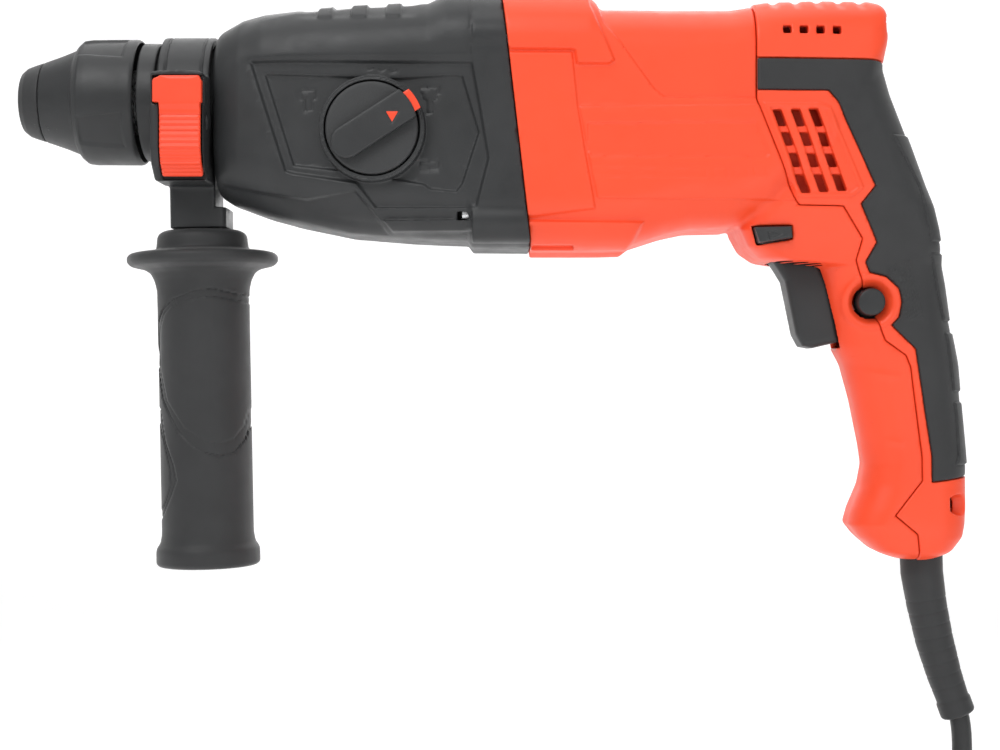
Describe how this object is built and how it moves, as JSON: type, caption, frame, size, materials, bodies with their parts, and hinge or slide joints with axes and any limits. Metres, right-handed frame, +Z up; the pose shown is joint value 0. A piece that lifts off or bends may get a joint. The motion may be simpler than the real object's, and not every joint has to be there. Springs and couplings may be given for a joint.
{
  "type": "rotary hammer",
  "caption": "Corded rotary hammer with a quick chuck, mode knob, pistol grip with trigger and a swivelling flanged side handle; its lead hangs in a tied coil.",
  "frame": {"origin": "middle of the main grip, where a hand holds the tool with its lead hanging", "axes": "+Z up, -X towards the chuck along the spindle, +Y to the tool's right; the mode knob is on -Y"},
  "size_m": [0.3984, 0.0796, 0.4798],
  "materials": {
    "red_housing": "fine satin",
    "black_housing": "fine grain",
    "black_rubber": "soft matte",
    "red_button": "satin",
    "label": "semi gloss",
    "grey_plastic": "moulded",
    "cord_rubber": "matte",
    "steel": "ground",
    "dark_steel": "oiled",
    "copper": "enamelled",
    "brass": "stamped",
    "graphite": "pressed"
  },
  "bodies": {
    "housing": {"gear_housing": "black_housing", "motor_housing": "red_housing", "rear_cover": "red_housing", "rear_overmould": "black_rubber", "label_plate": "label", "bearing_flange": "dark_steel", "spindle_bearing": "steel", "stator_core": "dark_steel", "field_coil_top": "copper", "field_coil_bottom": "copper", "brush_holder_left": "brass", "brush_holder_right": "brass", "carbon_brush_left": "graphite", "carbon_brush_right": "graphite", "armature_front_bearing": "steel", "armature_rear_bearing": "steel", "countershaft_rear_bearing": "steel", "brush_bridge": "grey_plastic", "case_screw_top_left": "steel", "case_screw_top_right": "steel", "case_screw_bottom_left": "steel", "case_screw_bottom_right": "steel", "cover_screw_top": "steel", "cover_screw_bottom": "steel", "trigger_switch": "grey_plastic", "cord_guard": "black_rubber", "cord": "cord_rubber", "cord_coil": "cord_rubber", "cord_tie": "grey_plastic", "mains_plug": "cord_rubber"},
    "spindle": {"spindle": "steel", "spindle_gear": "dark_steel", "nose_cap": "black_rubber", "locking_roller_top": "steel", "locking_roller_bottom": "steel", "chuck_spring": "steel"},
    "chuck_sleeve": {"chuck_sleeve": "black_housing"},
    "impact_bolt": {"impact_bolt": "steel"},
    "striker": {"striker": "steel", "striker_oring": "black_rubber"},
    "piston": {"piston": "dark_steel", "piston_pin": "steel"},
    "wobble_plate": {"wobble_plate": "dark_steel"},
    "countershaft": {"countershaft": "steel", "countershaft_gear": "dark_steel"},
    "armature": {"armature_shaft": "steel", "armature_core": "dark_steel", "commutator": "copper", "cooling_fan": "grey_plastic"},
    "mode_knob": {"mode_knob": "black_housing"},
    "mode_lock_button": {"mode_lock_button": "red_button"},
    "trigger": {"trigger": "black_housing"},
    "direction_switch": {"direction_switch": "black_housing"},
    "lock_on_button": {"lock_on_button": "black_housing"},
    "side_clamp": {"handle_clamp": "black_housing", "clamp_strap": "steel"},
    "clamp_bolt": {"clamp_bolt": "steel"},
    "depth_release": {"depth_release_button": "red_button"},
    "side_grip": {"side_grip": "black_rubber", "grip_nut": "steel"}
  },
  "joints": [
    {"name": "spindle_spin", "type": "hinge", "parent": "housing", "child": "spindle", "pos_m": [-0.2, 0, 0.12], "axis": [1, 0, 0], "continuous": true},
    {"name": "countershaft_spin", "type": "hinge", "parent": "housing", "child": "countershaft", "pos_m": [-0.2, 0, 0.0895], "axis": [1, 0, 0], "continuous": true},
    {"name": "armature_spin", "type": "hinge", "parent": "housing", "child": "armature", "pos_m": [-0.12, 0, 0.114], "axis": [1, 0, 0], "continuous": true},
    {"name": "chuck_release", "type": "slide", "parent": "spindle", "child": "chuck_sleeve", "axis": [1, 0, 0], "range_m": [0, 0.007], "stiffness_N_per_m": 900, "springref_m": -0.004},
    {"name": "impact_bolt_slide", "type": "slide", "parent": "spindle", "child": "impact_bolt", "axis": [1, 0, 0], "range_m": [-0.0015, 0.003]},
    {"name": "striker_slide", "type": "slide", "parent": "spindle", "child": "striker", "axis": [1, 0, 0], "range_m": [-0.004, 0.003]},
    {"name": "piston_slide", "type": "slide", "parent": "housing", "child": "piston", "axis": [1, 0, 0], "range_m": [-0.0063, 0.0063]},
    {"name": "wobble_tilt", "type": "hinge", "parent": "housing", "child": "wobble_plate", "pos_m": [-0.192, 0, 0.0895], "axis": [0, 1, 0], "range_deg": [-12, 12]},
    {"name": "mode_turn", "type": "hinge", "parent": "housing", "child": "mode_knob", "pos_m": [-0.203, -0.04, 0.1046], "axis": [0, -1, 0], "range_deg": [-63, 125]},
    {"name": "mode_lock", "type": "slide", "parent": "mode_knob", "child": "mode_lock_button", "axis": [-0.8415, 0, -0.5402], "range_m": [0, 0.002], "stiffness_N_per_m": 300, "springref_m": -0.002},
    {"name": "trigger_pull", "type": "slide", "parent": "housing", "child": "trigger", "axis": [1, 0, 0], "range_m": [0, 0.007], "stiffness_N_per_m": 900, "springref_m": -0.004},
    {"name": "direction_shift", "type": "slide", "parent": "housing", "child": "direction_switch", "axis": [0, 1, 0], "range_m": [0, 0.005]},
    {"name": "lock_on_press", "type": "slide", "parent": "housing", "child": "lock_on_button", "axis": [0, 1, 0], "range_m": [0, 0.003], "stiffness_N_per_m": 400, "springref_m": -0.002},
    {"name": "side_handle_swivel", "type": "hinge", "parent": "housing", "child": "side_clamp", "pos_m": [-0.2764, 0, 0.12], "axis": [1, 0, 0], "continuous": true},
    {"name": "grip_twist", "type": "hinge", "parent": "side_clamp", "child": "side_grip", "pos_m": [-0.2748, 0, 0.09], "axis": [-0.0192, 0, 0.9998], "range_deg": [0, 720]},
    {"name": "clamp_bolt_slide", "type": "slide", "parent": "side_clamp", "child": "clamp_bolt", "axis": [-0.0192, 0, 0.9998], "range_m": [0, 0.003]},
    {"name": "depth_release_press", "type": "slide", "parent": "side_clamp", "child": "depth_release", "axis": [0, 1, 0], "range_m": [0, 0.0018], "stiffness_N_per_m": 600, "springref_m": -0.0015}
  ],
  "couplings": [
    {"joint": "countershaft_spin", "follows": "spindle_spin", "ratio": -4.0833},
    {"joint": "armature_spin", "follows": "spindle_spin", "ratio": 20.927},
    {"joint": "wobble_tilt", "follows": "piston_slide", "rad_per_m": 32.787},
    {"joint": "clamp_bolt_slide", "follows": "grip_twist", "m_per_rad": 0.00019894}
  ]
}
